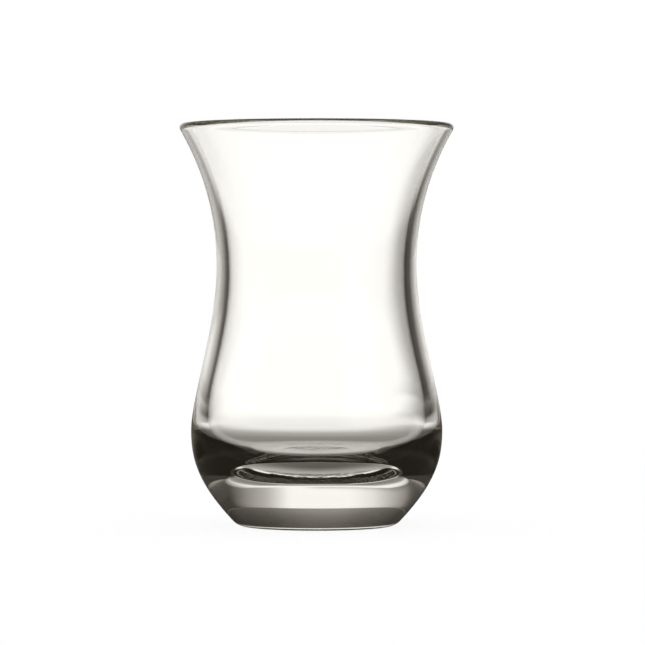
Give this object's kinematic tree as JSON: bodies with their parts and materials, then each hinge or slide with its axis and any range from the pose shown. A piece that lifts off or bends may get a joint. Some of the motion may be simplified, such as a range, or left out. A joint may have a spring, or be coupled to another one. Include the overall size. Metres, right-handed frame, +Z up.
{
  "type": "tea glass",
  "caption": "Small clear tea glass without a handle: flared rim, narrow waist, round belly and a thick solid base with a shallow recess underneath.",
  "frame": {"origin": "centre of the flat bearing ring that the glass stands on", "axes": "+Z up along the axis that the glass is turned about; X and Y are alike"},
  "size_m": [0.06, 0.06, 0.088],
  "materials": {
    "clear_glass": "polished"
  },
  "bodies": {
    "root": {"glass_body": "clear_glass"}
  },
  "joints": []
}
